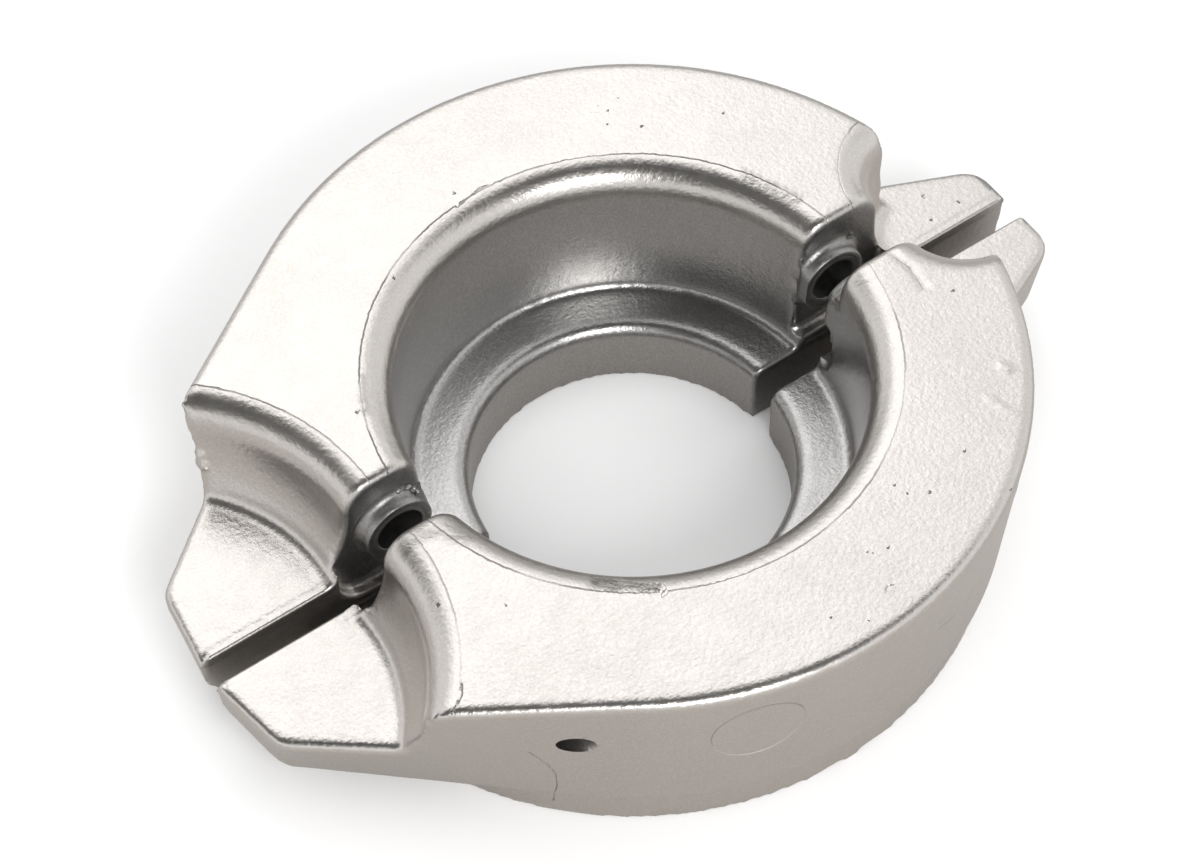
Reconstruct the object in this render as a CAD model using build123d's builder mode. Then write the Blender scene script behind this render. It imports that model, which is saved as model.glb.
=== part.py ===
"""Split collar anode: two castings that clamp round a hub, with cast-in screw sleeves.

Origin on the hub axis at the base, +Z up, +X along the split towards the narrow
fin, +Y through the half that takes the screw heads. Sizes in millimetres.
"""
import os
from math import atan2, cos, radians, sin, sqrt, tan

from build123d import *

os.makedirs("parts", exist_ok=True)

# Hub seat: a through bore with a wider recess above it
bore_radius = 27.0
bore_edge_round = 2.5
ledge_height = 12.7
recess_foot_radius = 36.7
recess_foot_lip = 0.5
recess_draft = 1.6
mouth_round = 5.4

# Outside of the collar
height = 39.6
top_radius = 64.5
foot_radius = 62.3
rim_radius = 60.8
rim_height = 8.4
top_edge_chamfer = 0.9

# Fins: both end in the split plane and share one top level
fin_height = 21.8

# Broad fin, on the -X side: its flanks run tangent to the collar
broad_fin_foot_reach = 80.2
broad_fin_top_reach = 84.6
broad_fin_tip_sweep = 2.2
broad_fin_corner_round = 5.0
broad_fin_edge_round = 1.2
broad_flank_foot_angle = 42.3
broad_flank_top_angle = 32.7
broad_fin_heel_inset = 3.5
broad_fin_heel_run = 4.8
broad_fin_heel_rise = 7.0

# Narrow fin, on the +X side
narrow_fin_reach = 80.8
narrow_fin_tip_width = 20.4
narrow_fin_tip_round = 5.0
narrow_fin_root_round = 10.0
narrow_fin_edge_round = 0.8
narrow_flank_angle = 24.0
narrow_fin_draft_angle = 8.0

# Hollows that drop from the collar's top to the fins, turned about upright axes
hollow_mouth_round = 5.4
hollow_cove_round = 2.1
broad_hollow_radius = 42.3
broad_hollow_flare = 3.3
broad_hollow_x = -89.1
broad_hollow_y = 7.3
narrow_hollow_radius = 15.7
narrow_hollow_flare = 0.8
narrow_hollow_x = 64.3
narrow_hollow_y = 3.9

# Split, and the pockets that set each lug's face back from it
split_clearance = 4.4
lug_setback = 2.7
pocket_floor = 14.9
pocket_corner_round = 5.0
broad_pocket_end = -55.4
narrow_pocket_end = 54.4
plain_lug_round = 1.0
tapped_broad_lug_round = 2.2
tapped_narrow_lug_round = 1.2

# Clamp screws: heads and sleeves in the plain half, threads in the tapped half
broad_screw_x = -43.8
narrow_screw_x = 43.0
screw_height = 27.0
boss_diameter = 12.2
boss_draft_angle = 8.0
sleeve_diameter = 10.0
sleeve_bore = 8.4
head_pocket_diameter = 14.0
head_seat = 30.0
tapped_bore = 5.0

half_gap = split_clearance / 2
lug_face = half_gap + lug_setback
mouth_radius = recess_foot_radius + recess_draft + mouth_round
cove_top = fin_height + hollow_cove_round
fin_root_x = narrow_hollow_x - narrow_hollow_radius
above_top = height + 5.0
below_base = -1.0
far_out = 3 * top_radius
nudge = 0.05
screw_spots = ((broad_screw_x, screw_height), (narrow_screw_x, screw_height))


def collar_outline(level, radius, flank_angle, reach):
    """Half outline at one level: split line, swept tip, flank and round side."""
    tilt = radians(flank_angle)
    touch = (-radius * sin(tilt), radius * cos(tilt))
    corner_x = broad_fin_tip_sweep - reach
    corner = (corner_x, (radius + corner_x * sin(tilt)) / cos(tilt))
    split_end = (sqrt(radius**2 - half_gap**2), half_gap)
    mid_angle = (atan2(touch[1], touch[0]) + atan2(split_end[1], split_end[0])) / 2
    middle = (radius * cos(mid_angle), radius * sin(mid_angle))
    with BuildSketch(Plane.XY.offset(level)) as outline:
        with BuildLine():
            Polyline(split_end, (-reach, half_gap), corner, touch)
            ThreePointArc(touch, middle, split_end)
        make_face()
    return outline.sketch


def hollow_section(radius, flare):
    """Section of a hollow from its axis outwards: floor, cove, flare and round mouth."""
    wall_radius = radius - hollow_mouth_round
    wall_top = height - hollow_mouth_round
    cove_centre = wall_radius - flare - hollow_cove_round
    with BuildSketch(Plane.XZ) as section:
        with BuildLine():
            Line((0, fin_height), (cove_centre, fin_height))
            CenterArc((cove_centre, cove_top), hollow_cove_round, -90, 90)
            TangentArc((wall_radius, wall_top), (wall_radius - flare, cove_top), tangent=(0, -1))
            CenterArc((radius, wall_top), hollow_mouth_round, 90, 90)
            Polyline((radius, height), (radius, above_top), (0, above_top), (0, fin_height))
        make_face()
    return section.sketch


def lug_edges(part, side_sign):
    """Edges round one lug's face above the fins: hollow, top and hub recess."""
    near_lugs = part.faces().filter_by_position(Axis.Y, lug_face - nudge, lug_face + nudge)
    edges = near_lugs.filter_by(Axis.Y).sort_by(Axis.X)[0 if side_sign < 0 else -1].edges()
    tall = edges.filter_by(lambda e: e.bounding_box().max.Z > cove_top)
    return tall.filter_by(Axis.Z, reverse=True)


# Hub seat, as the solid that it removes
with BuildPart() as seat:
    with BuildSketch(Plane.XZ):
        with BuildLine():
            ledge_start = bore_radius + bore_edge_round
            bore_top = ledge_height - bore_edge_round
            wall_foot = (recess_foot_radius, ledge_height + recess_foot_lip)
            wall_top = (mouth_radius - mouth_round, height - mouth_round)
            Polyline((0, below_base), (bore_radius, below_base), (bore_radius, bore_top))
            CenterArc((ledge_start, bore_top), bore_edge_round, 90, 90)
            Polyline(
                (ledge_start, ledge_height),
                (recess_foot_radius, ledge_height),
                wall_foot,
                wall_top,
            )
            CenterArc((mouth_radius, wall_top[1]), mouth_round, 90, 90)
            Polyline((mouth_radius, height), (mouth_radius, above_top), (0, above_top), (0, below_base))
        make_face()
    revolve(axis=Axis.Z)

# Hollows, each turned about its own upright axis
with BuildPart() as broad_hollow:
    add(hollow_section(broad_hollow_radius, broad_hollow_flare))
    revolve(axis=Axis.Z)

with BuildPart() as narrow_hollow:
    add(hollow_section(narrow_hollow_radius, narrow_hollow_flare))
    revolve(axis=Axis.Z)

# Pockets over both lugs, open to the top, the hub recess and the split
with BuildPart() as lug_pockets:
    with BuildSketch(Plane.XZ.offset(-half_gap)):
        with BuildLine():
            Polyline(
                (broad_pocket_end, above_top),
                (broad_pocket_end, pocket_floor),
                (narrow_pocket_end, pocket_floor),
                (narrow_pocket_end, above_top),
                close=True,
            )
        pocket_face = make_face()
        fillet(pocket_face.vertices().group_by(Axis.Y)[0], pocket_corner_round)
    extrude(amount=-lug_setback)

# Bosses round the screws: they stand on the lugs, their roots are buried, and they
# are cut flush with the hub recess
with BuildPart() as bosses:
    with BuildSketch(Plane.XZ.offset(-half_gap)):
        with Locations(screw_spots):
            Circle(boss_diameter / 2)
    extrude(amount=-2 * lug_setback, taper=-boss_draft_angle)
    add(seat.part, mode=Mode.SUBTRACT)

# Bevel that runs up under the broad fin's tip, as the solid that it removes
with BuildPart() as heel_bevel:
    with BuildSketch(Plane.XZ.offset(-half_gap)):
        with BuildLine():
            heel = (broad_fin_heel_inset - broad_fin_foot_reach, rim_height)
            outer_heel = (heel[0] - 2 * broad_fin_heel_run, heel[1] + 2 * broad_fin_heel_rise)
            Polyline(
                (heel[0], below_base),
                heel,
                outer_heel,
                (-far_out, outer_heel[1]),
                (-far_out, below_base),
                close=True,
            )
        make_face()
    extrude(amount=-far_out)

# Everything past the split face
with BuildPart() as past_split:
    with Locations((0, half_gap, 0)):
        Box(far_out, far_out, far_out, align=(Align.CENTER, Align.MAX, Align.CENTER))

# Narrow fin, with a root that reaches into the collar; its draft narrows it downwards
with BuildPart() as narrow_fin:
    with BuildSketch(Plane.XY.offset(fin_height)) as fin_plan:
        Circle(foot_radius)
        with BuildLine():
            tip = (narrow_fin_reach, narrow_fin_tip_width / 2)
            root_y = tip[1] + narrow_fin_reach * tan(radians(narrow_flank_angle))
            Polyline((0, -root_y), (tip[0], -tip[1]), tip, (0, root_y), close=True)
        make_face()
        fillet(fin_plan.vertices().group_by(Axis.X)[-1], narrow_fin_tip_round)
        fillet(fin_plan.vertices().group_by(Axis.X)[0], narrow_fin_root_round)
        with Locations((fin_root_x, 0)):
            Rectangle(far_out, far_out, align=(Align.MAX, Align.CENTER), mode=Mode.SUBTRACT)
    extrude(amount=rim_height - fin_height, taper=narrow_fin_draft_angle)
    fin_rim = narrow_fin.faces().sort_by(Axis.Z)[-1].edges()
    fillet(fin_rim.filter_by(lambda e: e.center().X > fin_root_x + nudge), narrow_fin_edge_round)

# The shape that both castings share, on the +Y side of the split
with BuildPart() as side:
    foot = collar_outline(rim_height, foot_radius, broad_flank_foot_angle, broad_fin_foot_reach)
    top = collar_outline(height, top_radius, broad_flank_top_angle, broad_fin_top_reach)
    loft(sections=[foot, top], ruled=True)
    off_split = side.edges().filter_by(lambda e: e.center().Y > lug_face)
    rising = off_split.filter_by(lambda e: e.bounding_box().size.Z > height / 2)
    fillet(rising.sort_by(Axis.X)[0], broad_fin_corner_round)
    top_outline = side.faces().sort_by(Axis.Z)[-1].edges()
    chamfer(top_outline.sort_by(Axis.Y)[1:], top_edge_chamfer)

    add(heel_bevel.part, mode=Mode.SUBTRACT)
    add(narrow_fin.part)
    with BuildSketch():
        Circle(rim_radius)
    extrude(amount=rim_height)
    with Locations((broad_hollow_x, broad_hollow_y, 0)):
        add(broad_hollow.part, mode=Mode.SUBTRACT)
    with Locations((narrow_hollow_x, narrow_hollow_y, 0)):
        add(narrow_hollow.part, mode=Mode.SUBTRACT)
    add(past_split.part, mode=Mode.SUBTRACT)
    add(seat.part, mode=Mode.SUBTRACT)
    level = side.edges().filter_by_position(Axis.Z, fin_height - nudge, fin_height + nudge)
    broad_fin_edges = level.filter_by(lambda e: e.center().X < -top_radius)
    fillet(broad_fin_edges.filter_by(lambda e: e.center().Y > half_gap + nudge), broad_fin_edge_round)
    add(lug_pockets.part, mode=Mode.SUBTRACT)

# Plain half: seats for the sleeves, and pockets in the wall for the screw heads
with BuildPart() as plain_half:
    add(side.part)
    fillet(lug_edges(plain_half, -1), plain_lug_round)
    fillet(lug_edges(plain_half, 1), plain_lug_round)
    add(bosses.part)
    with BuildSketch(Plane.XZ.offset(-half_gap)):
        with Locations(screw_spots):
            Circle(sleeve_diameter / 2)
    extrude(amount=half_gap - head_seat, mode=Mode.SUBTRACT)
    with BuildSketch(Plane.XZ.offset(-head_seat)):
        with Locations(screw_spots):
            Circle(head_pocket_diameter / 2)
    extrude(amount=head_seat - far_out, mode=Mode.SUBTRACT)
plain_half.part.label = "plain_half"
export_step(plain_half.part, "parts/plain_half.step")

# Sleeves that the screws pass through, from the split to the head seats
with BuildPart() as screw_sleeves:
    with BuildSketch(Plane.XZ.offset(-half_gap)):
        with Locations(screw_spots):
            Circle(sleeve_diameter / 2)
            Circle(sleeve_bore / 2, mode=Mode.SUBTRACT)
    extrude(amount=half_gap - head_seat)
screw_sleeves.part.label = "screw_sleeves"
export_step(screw_sleeves.part, "parts/screw_sleeves.step")

# Tapped half: bored through its bosses to the outer wall
with BuildPart() as tapped_pattern:
    add(side.part)
    fillet(lug_edges(tapped_pattern, -1), tapped_broad_lug_round)
    fillet(lug_edges(tapped_pattern, 1), tapped_narrow_lug_round)
    add(bosses.part)
    with BuildSketch(Plane.XZ.offset(-half_gap)):
        with Locations(screw_spots):
            Circle(tapped_bore / 2)
    extrude(amount=half_gap - far_out, mode=Mode.SUBTRACT)

with BuildPart() as tapped_half:
    mirror(tapped_pattern.part, about=Plane.XZ)
tapped_half.part.label = "tapped_half"
export_step(tapped_half.part, "parts/tapped_half.step")
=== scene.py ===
from math import cos, pi, radians, sin, tau

import bmesh
import bpy
from mathutils import Matrix, Vector, noise
from mathutils.bvhtree import BVHTree


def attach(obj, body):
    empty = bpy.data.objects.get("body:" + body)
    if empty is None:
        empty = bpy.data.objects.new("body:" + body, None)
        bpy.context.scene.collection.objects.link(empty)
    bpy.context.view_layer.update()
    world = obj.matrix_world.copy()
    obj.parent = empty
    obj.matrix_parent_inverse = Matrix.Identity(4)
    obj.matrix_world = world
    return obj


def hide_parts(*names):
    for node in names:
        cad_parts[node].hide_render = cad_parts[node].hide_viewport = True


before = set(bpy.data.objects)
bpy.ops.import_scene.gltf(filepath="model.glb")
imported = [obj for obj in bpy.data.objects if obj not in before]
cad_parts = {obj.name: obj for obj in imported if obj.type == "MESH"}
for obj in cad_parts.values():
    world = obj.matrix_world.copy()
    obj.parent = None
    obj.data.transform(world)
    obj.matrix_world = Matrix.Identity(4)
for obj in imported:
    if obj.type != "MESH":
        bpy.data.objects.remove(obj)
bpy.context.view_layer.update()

scene = bpy.context.scene
MM = 0.001

# Sizes that the surface details follow, in millimetres, as in the part's source
TOP_LEVEL = 39.6
FIN_LEVEL = 21.8
MOUTH_RADIUS = 43.7
SPLIT = 2.2
HUB_BORE_RADIUS = 27.0
SCREW_X = (-43.8, 43.0)
SCREW_Z = 27.0
LUG_FACE = 4.9
BOSS_RADIUS = 6.1
TAPPED_BORE = 2.5
SLEEVE_RADIUS = 5.0
SLEEVE_BORE = 4.2
SLEEVE_END = 30.0
HEAD_RADIUS = 7.0
LEDGE_LEVEL = 12.7
RECESS_FOOT = 13.2
RECESS_TOP = 34.2
RECESS_FOOT_RADIUS = 36.7
RECESS_DRAFT = 1.6
BOSS_PROUD = 0.45
BOSS_ROOT = 1.5
BOSS_RIPPLE = 0.035
FIN_SPLIT_ROUND = 2.0
LEDGE_SPLIT_ROUND = 0.8

# Mouths of the hollows over the fins: centre in X, its distance from the middle plane, and radius
BROAD_MOUTH = (-89.1, 7.3, 42.3)
NARROW_MOUTH = (64.3, 3.9, 15.7)

# How the skin over a casting is made and trued, in millimetres
SKIN_PITCH = 0.62
LOOSE_FIT = 0.22
BORE_REACH = 0.5
RIM_REACH = 0.65
ROUND_REACH = 0.4
RIM_MERGE = 0.1

# What a vertex carries for the finish to read, with FAR for a distance to nothing near
# Painted shade: LUG_PAINTED_DIM dims the base of lug faces and boss ends, as the recess wall is dimmed
LUG_PAINTED_DIM = 0.9
# Painted shade: the *_SHADE levels darken the base towards near black on lug faces, bore walls and split
# faces, and raise its roughness
LUG_SHADE = 0.33
BORE_SHADE = 0.85
SPLIT_SHADE = 0.35
FAR = 9.0
TRACES = ("seam", "seam_weight", "pit", "scar", "dull", "shade", "step")


class Signal:
    """A node's output. Arithmetic on it adds Math nodes to the same tree."""

    def __init__(self, finish, socket):
        self.finish = finish
        self.socket = socket

    def math(self, operation, *others):
        return self.finish.node("ShaderNodeMath", {"operation": operation}, self, *others)

    def __add__(self, other):
        return self.math("ADD", other)

    def __sub__(self, other):
        return self.math("SUBTRACT", other)

    def __rsub__(self, other):
        return self * -1.0 + other

    def __mul__(self, other):
        return self.math("MULTIPLY", other)

    def __abs__(self):
        return self.math("ABSOLUTE")

    def at_least(self, other):
        return self.math("MAXIMUM", other)

    __radd__ = __add__
    __rmul__ = __mul__


class Finish:
    """A node tree of a material or of the world."""

    def __init__(self, owner):
        owner.use_nodes = True
        self.owner = owner
        self.tree = owner.node_tree
        self.tree.nodes.clear()

    def node(self, kind, settings=None, *values, out=0, **named):
        """Adds a node, sets it up, fills its sockets in order and by name, and gives one output."""
        made = self.tree.nodes.new(kind)
        for key, value in (settings or {}).items():
            if key == "stops":
                while len(made.color_ramp.elements) < len(value):
                    made.color_ramp.elements.new(1.0)
                for element, (position, colour) in zip(made.color_ramp.elements, value):
                    element.position = position
                    element.color = (*colour, 1.0)
            else:
                setattr(made, key, value)
        free = [socket for socket in made.inputs if socket.enabled]
        pairs = list(zip(free, values))
        pairs += [(made.inputs[key.replace("_", " ")], value) for key, value in named.items()]
        for socket, value in pairs:
            if isinstance(value, Signal):
                self.tree.links.new(value.socket, socket)
            elif value is not None:
                socket.default_value = value
        open_outputs = [socket for socket in made.outputs if socket.enabled]
        if not open_outputs:
            return None
        return Signal(self, open_outputs[out] if isinstance(out, int) else made.outputs[out])

    def place(self):
        return self.node("ShaderNodeTexCoord", out="Object")

    def traced(self, name):
        """A number that a piece carries at each of its vertices."""
        return self.node("ShaderNodeAttribute", {"attribute_name": name}, out="Fac")

    def cloud(self, place, size, detail=2.0, roughness=0.5):
        """Noise from 0 to 1, in lumps about size millimetres across."""
        scale = 1000.0 / size
        return self.node("ShaderNodeTexNoise", Vector=place, Scale=scale, Detail=detail, Roughness=roughness)

    def cells(self, place, size):
        """Distance to scattered points about size millimetres apart, from 0 at each of them."""
        return self.node("ShaderNodeTexVoronoi", Vector=place, Scale=1000.0 / size)

    def fade(self, value, low, high, bottom=0.0, top=1.0):
        """Goes smoothly from bottom to top while value goes from low to high."""
        smooth = {"interpolation_type": "SMOOTHSTEP"}
        return self.node("ShaderNodeMapRange", smooth, value, low, high, bottom, top)

    def mix(self, mask, under, over):
        """A colour that is under where mask is 0 and over where it is 1."""
        return self.node("ShaderNodeMix", {"data_type": "RGBA"}, mask, under, over)

    def bump(self, height, distance, normal=None):
        """A normal for a height from 0 to 1 that stands for distance millimetres."""
        return self.node("ShaderNodeBump", Distance=distance * MM, Height=height, Normal=normal)

    def surface(self, **sockets):
        """Closes a material with one shader, and gives the material."""
        shader = self.node("ShaderNodeBsdfPrincipled", **sockets)
        self.node("ShaderNodeOutputMaterial", Surface=shader)
        return self.owner


def grey(level, warmth=0.0):
    """A linear colour near a neutral level, warmer for a higher warmth."""
    return (level * (1 + warmth), level, level * (1 - warmth), 1.0)


def cast_zinc():
    """As-cast zinc: satin, with a fine sandy grain, and pits, folds and scars where they are traced, and
    painted shade where the dimming and shade traces say.
    """
    skin = Finish(bpy.data.materials.new("cast_zinc"))
    place = skin.place()
    leather = skin.cloud(place, 3.2, 1.0, 0.5)
    pebble = skin.cloud(place, 0.9, 1.0, 0.5)
    sand = skin.cloud(place, 0.42, 2.0, 0.6)
    broad = skin.fade(skin.cloud(place, 24.0, 3.0, 0.55), 0.35, 0.7)
    wobble = (skin.cloud(place, 1.3, 3.0) - 0.5) * 0.45
    seam = 1.0 - skin.fade(abs(skin.traced("seam") + wobble), 0.03, 0.17)
    seam = seam * skin.traced("seam_weight")
    pit = 1.0 - skin.fade(skin.traced("pit") + wobble * 0.4, -0.08, 0.14)
    speck = 1.0 - skin.fade(skin.cells(place, 5.5), 0.02, 0.045)
    speck = speck * skin.fade(skin.cloud(place, 14.0), 0.5, 0.6)
    scar = skin.traced("scar")
    dull = skin.traced("dull")
    shade = skin.traced("shade")
    along_gouge = (0.0, 0.0, radians(-44))
    stretched = {"vector_type": "TEXTURE"}
    smear = skin.node("ShaderNodeMapping", stretched, place, Rotation=along_gouge, Scale=(3.3, 1.0, 1.0))
    torn = skin.cloud(smear, 1.1, 3.0, 0.6)
    sunk = (seam * 0.7).at_least(pit * 0.75)
    dark = sunk.at_least(speck * 0.35)
    base = skin.mix(broad, grey(0.585, 0.05), grey(0.56, 0.055))
    base = skin.mix(skin.fade(sand, 0.35, 0.75), base, grey(0.65, 0.045))
    # Painted shade: a dimmer base on the recess wall, lug faces and boss ends
    painted_dim_base = skin.mix(skin.fade(sand, 0.3, 0.75), grey(0.38, 0.01), grey(0.50, 0.01))
    base = skin.mix(dull, base, painted_dim_base)
    # Painted shade: a near-black base on split faces, bore walls, lug faces and boss ends
    base = skin.mix(shade, base, grey(0.13, 0.03))
    base = skin.mix(scar * skin.fade(torn, 0.30, 0.62), base, grey(0.17, 0.06))
    base = skin.mix(dark, base, grey(0.07, 0.12))
    roughness = skin.fade(leather, 0.3, 0.75, 0.28, 0.31)
    roughness = roughness + broad * 0.015 + scar * 0.15 + shade * 0.3
    normal = skin.bump(leather, 0.016)
    normal = skin.bump(pebble, 0.05, normal)
    normal = skin.bump(sand, 0.03, normal)
    normal = skin.bump(sand * dull, 0.015, normal)
    normal = skin.bump(1.0 - sunk, 0.2, normal)
    normal = skin.bump(skin.fade(skin.traced("step"), -0.18, 0.18), 0.22, normal)
    normal = skin.bump(torn * scar, 0.5, normal)
    return skin.surface(Base_Color=base, Metallic=1.0, Roughness=roughness, Normal=normal)


def turned_steel():
    """Steel sleeves: turned, then dulled by the hot zinc round them."""
    steel = Finish(bpy.data.materials.new("turned_steel"))
    place = steel.place()
    film = steel.cloud(place, 3.0, 3.0)
    base = steel.mix(steel.fade(film, 0.35, 0.7), grey(0.42, 0.02), grey(0.34, 0.02))
    roughness = steel.fade(film, 0.3, 0.7, 0.34, 0.5)
    normal = steel.bump(steel.cloud(place, 0.5, 2.0), 0.03)
    return steel.surface(Base_Color=base, Metallic=1.0, Roughness=roughness, Normal=normal)


def new_piece(name, shape):
    """A new object with a finished bmesh as its mesh; the bmesh is used up."""
    mesh = bpy.data.meshes.new(name)
    shape.to_mesh(mesh)
    shape.free()
    piece = bpy.data.objects.new(name, mesh)
    scene.collection.objects.link(piece)
    return piece


def turn_section(shape, x, side, section):
    """Spins a closed section, of radii and distances from the split, round the screw axis at x."""
    verts = [shape.verts.new(Vector((x + radius, side * along, SCREW_Z)) * MM) for radius, along in section]
    edges = [shape.edges.new(pair) for pair in zip(verts, verts[1:] + verts[:1])]
    bmesh.ops.spin(
        shape,
        geom=verts + edges,
        cent=Vector((x, 0, SCREW_Z)) * MM,
        axis=(0, 1, 0),
        angle=tau,
        steps=96,
        use_merge=True,
        use_duplicate=False,
    )


# Castings: an even skin over each half, with the marks that casting and handling leave

def even_skin(node, name):
    """A node's shape as small even faces, and the node's exact shape to measure from."""
    shell = bmesh.new()
    shell.from_mesh(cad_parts[node].data)
    shell.transform(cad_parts[node].matrix_world)
    bmesh.ops.remove_doubles(shell, verts=shell.verts, dist=0.001 * MM)
    exact = BVHTree.FromBMesh(shell)
    piece = new_piece(name, shell)
    remesh = piece.modifiers.new("even_skin", "REMESH")
    remesh.mode = "VOXEL"
    remesh.voxel_size = SKIN_PITCH * MM
    depsgraph = bpy.context.evaluated_depsgraph_get()
    piece.data = bpy.data.meshes.new_from_object(piece.evaluated_get(depsgraph))
    piece.modifiers.clear()
    return piece, exact


def path_distance(point, normal, path):
    """Distance from a skin's point to a path, negative on its right, and how far past the path's ends."""
    nearest, past = FAR, 0.0
    for start, end in zip(path, path[1:]):
        run = end - start
        share = (point - start).dot(run) / run.length_squared
        kept = max(0.0, min(1.0, share))
        gap = point - start - run * kept
        if gap.length < abs(nearest):
            nearest = gap.length if normal.cross(run).dot(gap) >= 0 else -gap.length
            open_end = start is path[0] if share < 0 else end is path[-1]
            past = abs(share - kept) * run.length if open_end else 0.0
    return nearest, past


def ramp_down(value, low, high):
    """1 below low, 0 above high, smooth between."""
    share = max(0.0, min(1.0, (high - value) / (high - low)))
    return share * share * (3 - 2 * share)


def recess_radius(level):
    """Radius of the hub recess's drafted wall at a level."""
    share = (level - RECESS_FOOT) / (RECESS_TOP - RECESS_FOOT)
    return RECESS_FOOT_RADIUS + RECESS_DRAFT * share


def add_boss_ends(extras, side, inner_radius):
    """Crisp turned ends for the bosses, with a root round, cut near the hub recess's wall."""
    root_centre = BOSS_RADIUS + 0.2 + BOSS_ROOT
    proud = BOSS_PROUD if side > 0 else -BOSS_PROUD
    for x in SCREW_X:
        section = [(inner_radius, SPLIT), (BOSS_RADIUS - 0.12, SPLIT), (BOSS_RADIUS, SPLIT + 0.12)]
        for step in range(13):
            turn = step / 12 * pi / 2
            reach = BOSS_ROOT + (BOSS_RIPPLE if step % 2 else 0.0)
            along = LUG_FACE - 0.05 - BOSS_ROOT + reach * sin(turn)
            section.append((root_centre - reach * cos(turn), along))
        section += [(section[-1][0], LUG_FACE + 0.7), (inner_radius, LUG_FACE + 0.7)]
        turn_section(extras, x, side, section)
    for vert in extras.verts:
        reach = min(Vector((vert.co.x * 1000 - x, vert.co.z * 1000 - SCREW_Z)).length for x in SCREW_X)
        edge = proud * ramp_down(reach, BOSS_RADIUS, BOSS_RADIUS + 1.2) - 0.1
        wall = (recess_radius(vert.co.z * 1000) - edge) * MM
        if vert.co.xy.length < wall:
            vert.co.xy *= wall / vert.co.xy.length
    bmesh.ops.recalc_face_normals(extras, faces=extras.faces)


def add_crumbs(extras, crumbs):
    """Small torn lumps of flash."""
    for place, size in crumbs:
        lump = bmesh.ops.create_icosphere(extras, subdivisions=2, radius=size * MM)["verts"]
        for vert in lump:
            vert.co *= 1 + 0.7 * noise.noise(vert.co * 1000 / size * 1.3 + Vector(place))
            vert.co += Vector(place) * MM


def bores(side):
    """Each round hole in a casting: its axis in X, its radius and the span in Y that it runs along."""
    if side > 0:
        holes = ((SLEEVE_RADIUS, 0.0, SLEEVE_END), (HEAD_RADIUS, SLEEVE_END, 99.0))
    else:
        holes = ((TAPPED_BORE, 0.0, 99.0),)
    return [(x, *hole) for x in SCREW_X for hole in holes]


def lines_bore(point, bore, slack=0.02):
    """Whether a point lies on a bore's wall, within the slack."""
    x, radius, start, end = bore
    offset = Vector((point.x - x, point.z - SCREW_Z))
    return start < abs(point.y) < end and abs(offset.length - radius) < slack


def trued(point, normal, side, holes, exact):
    """A point of the skin, moved onto the bore, its rim or the rounded edge that it lies close to."""
    for bore in holes:
        if lines_bore(point, bore, BORE_REACH):
            x, radius = bore[:2]
            offset = Vector((point.x - x, 0.0, point.z - SCREW_Z)).normalized()
            on_bore = Vector((x, point.y, SCREW_Z)) + offset * radius
            outside = on_bore + offset * 0.15
            outside.y = side * 200.0
            rim = exact.ray_cast(outside * MM, Vector((0.0, -side, 0.0)))[0]
            if rim and abs(rim.y * 1000 - point.y) < RIM_REACH:
                on_bore.y = rim.y * 1000
            return on_bore
    for level, rounding in ((FIN_LEVEL, FIN_SPLIT_ROUND), (LEDGE_LEVEL, LEDGE_SPLIT_ROUND)):
        depth = Vector((SPLIT + rounding - abs(point.y), point.z - level + rounding))
        by_edge = depth.x > 0 and 0 < depth.y < rounding + 0.1
        if by_edge and 0 < depth.length - rounding < ROUND_REACH and abs(normal.x) < 0.35:
            depth *= rounding / depth.length
            return Vector((point.x, side * (SPLIT + rounding - depth.x), level - rounding + depth.y))
    return point


def soften(skin, verts, times):
    """Evens out vertices against their neighbours, a number of times."""
    axes = {"use_axis_x": True, "use_axis_y": True, "use_axis_z": True}
    for _ in range(times):
        bmesh.ops.smooth_vert(skin, verts=verts, factor=0.5, **axes)


def is_flank_end(point):
    """Whether a point lies by the edges where the flanks end at the broad hollows."""
    return point.x < -60 and abs(point.y) > 26 and FIN_LEVEL + 1 < point.z < TOP_LEVEL - 2


def worn_corner(point, normal, wear):
    """Brings the thin corner between a broad hollow and its lug down towards the fin's top."""
    share = wear * ramp_down(abs(point.y), 4.0, 4.9)
    if share > 0 and -58.5 < point.x < -55.0 and FIN_LEVEL < point.z < FIN_LEVEL + 5:
        point.z -= (point.z - FIN_LEVEL) * share
        normal = normal.lerp(Vector((0, 0, 1)), share)
    return point, normal


def tones(point, normal, holes):
    """How much painted shade a casting gets at a point: a dimmed base on the recess wall and lug faces, and a
    darker base on split faces, the upper lug faces and bore walls.
    """
    dull = ramp_down(point.xy.length, 38.5, 42.5) * ramp_down(point.z, 33.0, 38.5) * 0.85
    shade = SPLIT_SHADE * ramp_down(abs(point.y), SPLIT + 0.15, SPLIT + 0.5)
    lug = ramp_down(abs(abs(point.y) - LUG_FACE), 0.3, 0.8) * ramp_down(1 - abs(normal.y), 0.1, 0.5)
    dull = max(dull, LUG_PAINTED_DIM * lug)
    shade = max(shade, LUG_SHADE * lug * ramp_down(-point.z, -23.0, -18.0))
    if any(lines_bore(point, bore) for bore in holes):
        shade = max(shade, BORE_SHADE * ramp_down(abs(normal.y), 0.1, 0.5))
    return dull, shade


def nearest_seam(point, normal, rings, folds):
    """Signed distance to the nearest mould line or fold, and how strongly it shows."""
    seam, weight = FAR, 0.0
    if point.z > TOP_LEVEL - 1.5:
        for centre, radius, share in rings:
            gap = (point.xy - centre).length - radius
            if abs(gap) < abs(seam):
                seam, weight = gap, share
        weight *= 0.35 + 0.65 * ramp_down(noise.noise(point / 9) * 2, -0.3, 0.5)
        weight *= ramp_down(TOP_LEVEL - point.z, 0.5, 1.4)
    for path, strength in folds:
        if min((point - knot).length for knot in path) < FAR:
            gap, past = path_distance(point, normal, path)
            share = strength * ramp_down(abs(gap), 0.9, 1.5) * ramp_down(past, 0.0, 0.6)
            if share > 0 and abs(gap) < abs(seam):
                seam, weight = gap, share
    return seam, weight


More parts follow.
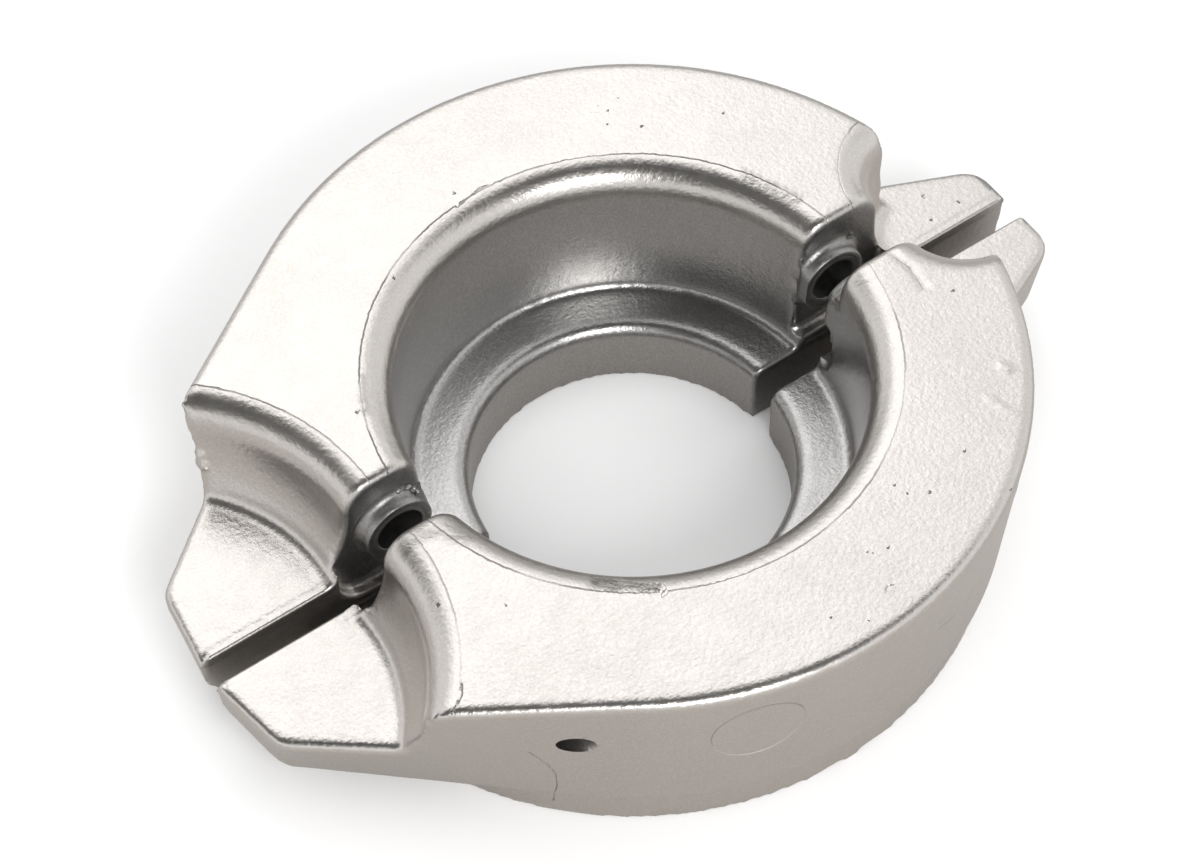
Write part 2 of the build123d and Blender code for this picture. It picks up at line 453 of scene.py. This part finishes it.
def scarred(point, normal, scars, lift):
    """The lift of the skin after its scars, where a scar of negative depth stands up, and how torn it is."""
    scar = 0.0
    for path, width, depth, torn in scars:
        if min((point - knot).length for knot in path) < FAR:
            gap = abs(path_distance(point, normal, path)[0])
            edge = width * (1 + 0.5 * noise.noise(point * 0.45))
            share = ramp_down(gap, edge * 0.25, edge)
            lift -= depth * share * (0.7 + 0.5 * abs(noise.noise(point * 0.7)))
            scar = max(scar, torn * share)
    return lift, scar


def nearest_round(point, rounds):
    """Distance to the nearest of some balls, negative inside it."""
    return min([FAR] + [(point - centre).length - radius for centre, radius in rounds])


def join_extras(skin, layers, side, inner_radius, crumbs):
    """Adds the boss ends and the crumbs of flash to a skin."""
    extras = bmesh.new()
    add_boss_ends(extras, side, inner_radius)
    add_crumbs(extras, crumbs)
    mesh = bpy.data.meshes.new("extras")
    extras.to_mesh(mesh)
    extras.free()
    joined = len(skin.verts)
    skin.from_mesh(mesh)
    bpy.data.meshes.remove(mesh)
    # The boss ends and crumbs take the lug faces' painted shade and dimming
    for vert in list(skin.verts)[joined:]:
        for layer, value in zip(layers, (FAR, 0.0, FAR, 0.0, LUG_PAINTED_DIM, LUG_SHADE, FAR)):
            vert[layer] = value


def mark_casting(piece, exact, side, inner_radius, marks):
    """Moves the skin for each mark and stores what the finish reads at each vertex."""
    skin = bmesh.new()
    skin.from_mesh(piece.data)
    soften(skin, skin.verts, 2)
    loose = [vert for vert in skin.verts if exact.find_nearest(vert.co)[3] > LOOSE_FIT * MM]
    soften(skin, loose, 5)
    soften(skin, [vert for vert in skin.verts if is_flank_end(vert.co * 1000)], 14)
    skin.normal_update()
    layers = [skin.verts.layers.float.new(name) for name in TRACES]
    holes = bores(side)
    rings = [(Vector((0, 0)), MOUTH_RADIUS, marks["hub_ring"])]
    for (x, across, radius), ring in ((BROAD_MOUTH, "broad_ring"), (NARROW_MOUTH, "narrow_ring")):
        rings.append((Vector((x, side * across)), radius, marks[ring]))
    rims = []
    for vert in skin.verts:
        point, normal = worn_corner(vert.co * 1000, vert.normal.copy(), marks["corner_wear"])
        point = trued(point, normal, side, holes, exact)
        if abs(point.y - vert.co.y * 1000) > 0.001:
            rims.append(vert)
        lift = (noise.noise(point / 17) + 0.2 * noise.noise(point / 7)) * 0.022
        dull, shade = tones(point, normal, holes)
        seam, weight = nearest_seam(point, normal, rings, marks["folds"])
        lift, scar = scarred(point, normal, marks["scars"], lift)
        pit = nearest_round(point, marks["pits"])
        step = nearest_round(point, marks["discs"])
        vert.co = (point + normal * lift) * MM
        for layer, value in zip(layers, (seam, weight, pit, scar, dull, shade, step)):
            vert[layer] = value
    bmesh.ops.remove_doubles(skin, verts=rims, dist=RIM_MERGE * MM)
    join_extras(skin, layers, side, inner_radius, marks["crumbs"])
    for face in skin.faces:
        face.smooth = True
    skin.to_mesh(piece.data)
    skin.free()
    piece.data.set_sharp_from_angle(angle=radians(50))


def points(*places):
    """A path of points."""
    return [Vector(place) for place in places]


def balls(*places):
    """Centres and radii, from rows of X, Y, Z and radius."""
    return [(Vector(place[:3]), place[3]) for place in places]


# Folds are paths with a strength. Scars are paths with a width, a depth and how torn they are.

TAPPED_MARKS = {
    "hub_ring": 0.6,
    "broad_ring": 0.4,
    "narrow_ring": 0.0,
    "corner_wear": 1.0,
    "crumbs": (),
    "folds": (
        (points((-55.6, -33.4, 39.6), (-56.6, -35.3, 39.6), (-58.2, -36.5, 39.6), (-60.0, -36.9, 39.4)), 1.0),
        (
            points(
                (-49.4, -41.8, 23.9), (-47.2, -43.2, 19.6), (-46.0, -43.7, 16.2), (-45.6, -43.6, 12.6),
                (-44.8, -41.0, 3.3),
            ),
            0.9,
        ),
        (points((22.5, -59.0, 23.0), (24.9, -58.3, 25.2)), 0.7),
        (points((14.7, -61.6, 26.1), (17.0, -61.0, 24.9), (19.3, -60.3, 24.1)), 0.7),
        (points((6.2, -57.8, 39.6), (7.0, -57.2, 39.6), (7.8, -57.4, 39.6)), 0.5),
        (points((47.6, -7.6, 39.6), (48.2, -10.6, 39.6), (47.4, -15.0, 39.6)), 0.25),
        (points((-23.6, -35.9, 39.6), (-22.0, -36.5, 39.6), (-21.3, -38.4, 39.6)), 0.9),
    ),
    "pits": balls(
        (20.2, -45.4, 39.6, 0.25), (-50.8, -19.9, 39.3, 0.4), (-42.6, -26.1, 39.6, 0.3),
        (50.9, -18.4, 39.6, 0.35), (1.1, -60.6, 39.6, 0.3), (32.5, -44.4, 39.6, 0.25),
        (23.1, -47.3, 39.6, 0.32), (19.6, -43.1, 39.6, 0.2), (5.1, -47.1, 39.6, 0.22),
        (8.5, -50.6, 39.6, 0.22), (9.0, -51.4, 39.6, 0.22), (5.1, -50.9, 39.6, 0.2),
        (11.5, -51.7, 39.6, 0.25), (-3.4, -56.7, 39.6, 0.2), (35.4, -52.8, 39.5, 0.3),
        (34.0, -54.1, 39.2, 0.3),
    ),
    "scars": (
        (points((-28.6, -30.6, 39.2), (-26.4, -32.4, 39.3)), 1.5, 0.6, 1.0),
        (points((-26.4, -32.8, 39.3), (-24.0, -35.0, 39.4), (-21.9, -36.9, 39.5)), 1.3, 0.35, 0.7),
        (points((47.8, -6.6, 39.6), (48.4, -10.5, 39.6), (47.7, -15.2, 39.6)), 0.7, 0.22, 0.0),
        (points((47.8, -34.8, 39.6), (48.3, -36.0, 39.6)), 0.8, -0.3, 0.0),
        (points((42.0, -38.5, 39.6), (42.5, -40.8, 39.6), (43.5, -43.2, 39.6)), 0.7, -0.12, 0.0),
        (
            points((-48.6, -7.6, 39.4), (-45.4, -7.8, 39.6), (-42.6, -9.0, 39.6), (-40.6, -12.6, 39.4)),
            2.0, 0.08, 0.4,
        ),
    ),
    "discs": balls((-19.2, -60.1, 26.8, 7.6)),
}

PLAIN_MARKS = {
    "hub_ring": 1.0,
    "broad_ring": 1.0,
    "narrow_ring": 0.7,
    "corner_wear": 0.0,
    "discs": (),
    "crumbs": (
        ((-43.4, 4.6, 33.5), 0.35), ((-42.3, 4.6, 33.7), 0.5), ((-41.3, 4.6, 33.9), 0.45),
        ((-40.5, 4.4, 33.4), 0.55), ((-39.7, 4.2, 32.6), 0.5), ((-39.2, 3.8, 31.9), 0.4),
        ((48.0, 4.6, 32.3), 0.4), ((48.3, 4.6, 33.1), 0.3),
    ),
    "folds": (
        (
            points(
                (-4.4, 43.1, 39.6), (-2.6, 43.5, 39.6), (0.2, 44.2, 39.6), (3.0, 44.0, 39.6),
                (4.2, 43.4, 39.6),
            ),
            0.9,
        ),
    ),
    "pits": balls(
        (-41.0, 17.5, 39.6, 0.4), (-21.3, 36.7, 39.4, 0.35), (-3.6, 45.8, 39.6, 0.35),
        (-59.2, -5.4, 21.8, 0.35), (69.4, 10.6, 21.8, 0.4), (73.4, 6.2, 21.8, 0.35), (67.1, 5.8, 21.8, 0.3),
        (25.2, 47.1, 39.6, 0.2), (27.0, 47.2, 39.6, 0.2), (27.7, 45.6, 39.6, 0.22), (30.5, 46.9, 39.6, 0.2),
        (30.8, 43.4, 39.6, 0.22), (30.3, 39.4, 39.6, 0.3), (40.2, 24.8, 39.6, 0.25), (35.9, 45.2, 39.6, 0.2),
        (37.6, 41.5, 39.6, 0.22), (27.2, 52.6, 39.6, 0.22), (18.9, 44.0, 39.6, 0.2), (25.8, 43.2, 39.6, 0.2),
        (27.5, 54.5, 39.6, 0.2), (43.1, 33.8, 39.6, 0.22),
    ),
    "scars": (
        (points((-37.0, 22.9, 39.5), (-38.8, 19.8, 39.5), (-40.1, 16.8, 39.5)), 0.6, -0.3, 0.2),
        (points((37.9, 21.8, 39.5), (40.4, 16.5, 39.5), (42.1, 11.5, 39.5)), 0.5, -0.2, 0.2),
        (points((-63.2, 31.5, 28.8), (-63.1, 31.2, 27.6)), 1.7, -0.95, 0.0),
    ),
}

zinc = cast_zinc()
for node, name, side, inner_radius, marks in (
    ("plain_half", "plain_casting", 1, SLEEVE_RADIUS, PLAIN_MARKS),
    ("tapped_half", "tapped_casting", -1, TAPPED_BORE, TAPPED_MARKS),
):
    casting, exact = even_skin(node, name)
    mark_casting(casting, exact, side, inner_radius, marks)
    casting.data.materials.clear()
    casting.data.materials.append(zinc)
    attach(casting, "root")
    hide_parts(node)


# Sleeves: turned tubes with a chamfered end, cast into the plain half

def turned_sleeves(name):
    """Both sleeves, each a section turned about its own axis along Y."""
    tube = bmesh.new()
    for x in SCREW_X:
        section = [(SLEEVE_BORE, SLEEVE_END), (SLEEVE_BORE, SPLIT + 0.12), (SLEEVE_BORE + 0.12, SPLIT)]
        section += [(SLEEVE_RADIUS - 0.05, SPLIT), (SLEEVE_RADIUS, SPLIT + 0.05), (SLEEVE_RADIUS, SLEEVE_END)]
        turn_section(tube, x, 1, section)
    bmesh.ops.remove_doubles(tube, verts=tube.verts, dist=0.001 * MM)
    bmesh.ops.recalc_face_normals(tube, faces=tube.faces)
    piece = new_piece(name, tube)
    piece.data.shade_smooth()
    piece.data.set_sharp_from_angle(angle=radians(25))
    return piece


sleeves = turned_sleeves("turned_sleeves")
sleeves.data.materials.append(turned_steel())
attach(sleeves, "root")
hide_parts("screw_sleeves")


# Studio: pale floor, white surroundings and soft lamps

def pale_floor():
    """White to the camera, and duller where the metal mirrors it."""
    pale = Finish(bpy.data.materials.new("pale_floor"))
    seen = pale.node("ShaderNodeLightPath", out="Is Camera Ray")
    colour = pale.mix(seen, grey(0.52, 0.035), grey(0.96))
    return pale.surface(Base_Color=colour, Roughness=0.9, Specular_IOR_Level=0.0)


sheet = bmesh.new()
bmesh.ops.create_grid(sheet, x_segments=1, y_segments=1, size=4.0)
floor = new_piece("floor", sheet)
floor.data.materials.append(pale_floor())

if scene.world is None:
    scene.world = bpy.data.worlds.new("studio")
studio = Finish(scene.world)
shown = studio.node("ShaderNodeLightPath", out="Is Camera Ray")
for kind in ("Is Glossy Ray", "Is Transmission Ray"):
    shown = shown.at_least(studio.node("ShaderNodeLightPath", out=kind))
background = studio.node("ShaderNodeBackground", {}, grey(1.0), studio.fade(shown, 0.0, 1.0, 0.95, 1.0))
studio.node("ShaderNodeOutputWorld", Surface=background)


def soft_lamp(name, towards, distance, size, radiance):
    """A square area lamp that faces the hub; its radiance is what a mirror shows of it."""
    lamp = bpy.data.lights.new(name, "AREA")
    lamp.size = size
    lamp.energy = radiance * pi * size * size
    holder = bpy.data.objects.new(name, lamp)
    scene.collection.objects.link(holder)
    direction = Vector(towards).normalized()
    holder.location = direction * distance
    holder.rotation_euler = direction.to_track_quat("Z", "Y").to_euler()


def flag(name, towards, distance, width, height, level):
    """A dark card that only the metal mirrors."""
    shape = bmesh.new()
    bmesh.ops.create_grid(shape, x_segments=1, y_segments=1, size=0.5)
    shape.transform(Matrix.Diagonal((width, height, 1.0, 1.0)))
    direction = Vector(towards).normalized()
    facing = direction.to_track_quat("Z", "Y").to_matrix().to_4x4()
    shape.transform(Matrix.Translation(direction * distance) @ facing)
    card = new_piece(name, shape)
    cloth = Finish(bpy.data.materials.new(name))
    glow = cloth.node("ShaderNodeEmission", {}, grey(level), 1.0)
    cloth.node("ShaderNodeOutputMaterial", Surface=glow)
    card.data.materials.append(cloth.owner)
    card.visible_camera = False
    card.visible_diffuse = False
    card.visible_shadow = False
    card.visible_transmission = False


soft_lamp("back_lamp", (0.17, 0.53, 0.83), 1.2, 0.76, 0.9)
soft_lamp("front_lamp", (-0.17, -0.70, 0.68), 0.9, 0.30, 11.0)
flag("overhead_flag", (-0.19, -0.28, 0.94), 1.0, 1.4, 1.4, 0.05)
flag("side_flag", (-0.60, 0.24, 0.76), 1.0, 0.76, 0.70, 0.12)
flag("back_flag", (0.55, 0.80, 0.26), 1.2, 1.8, 0.5, 0.5)


# Camera: pinhole that looks down over the tapped half

YAW, TILT, ROLL = -0.6085, 0.9512, -0.0099
BACK = 22.3607 * HUB_BORE_RADIUS
ACROSS = -0.199 * HUB_BORE_RADIUS
UPWARD = 0.4438 * HUB_BORE_RADIUS
FOCAL_PIXELS = 3569.6
FRAME_PIXELS = 1200.0
SENSOR_WIDTH = 36.0

level_right = Vector((cos(YAW), sin(YAW), 0))
ahead = Vector((-sin(YAW) * cos(TILT), cos(YAW) * cos(TILT), -sin(TILT)))
level_up = level_right.cross(ahead)
right = level_right * cos(ROLL) + level_up * sin(ROLL)
upright = level_up * cos(ROLL) - level_right * sin(ROLL)
lens = bpy.data.cameras.new("camera")
lens.sensor_fit = "HORIZONTAL"
lens.sensor_width = SENSOR_WIDTH
lens.lens = FOCAL_PIXELS * SENSOR_WIDTH / FRAME_PIXELS
lens.clip_start = 0.01
lens.clip_end = 50.0
camera = bpy.data.objects.new("camera", lens)
scene.collection.objects.link(camera)
stand = Matrix.Translation((right * ACROSS + upright * UPWARD - ahead * BACK) * MM)
camera.matrix_world = stand @ Matrix((right, upright, -ahead)).transposed().to_4x4()
scene.camera = camera

scene.view_settings.view_transform = "Standard"
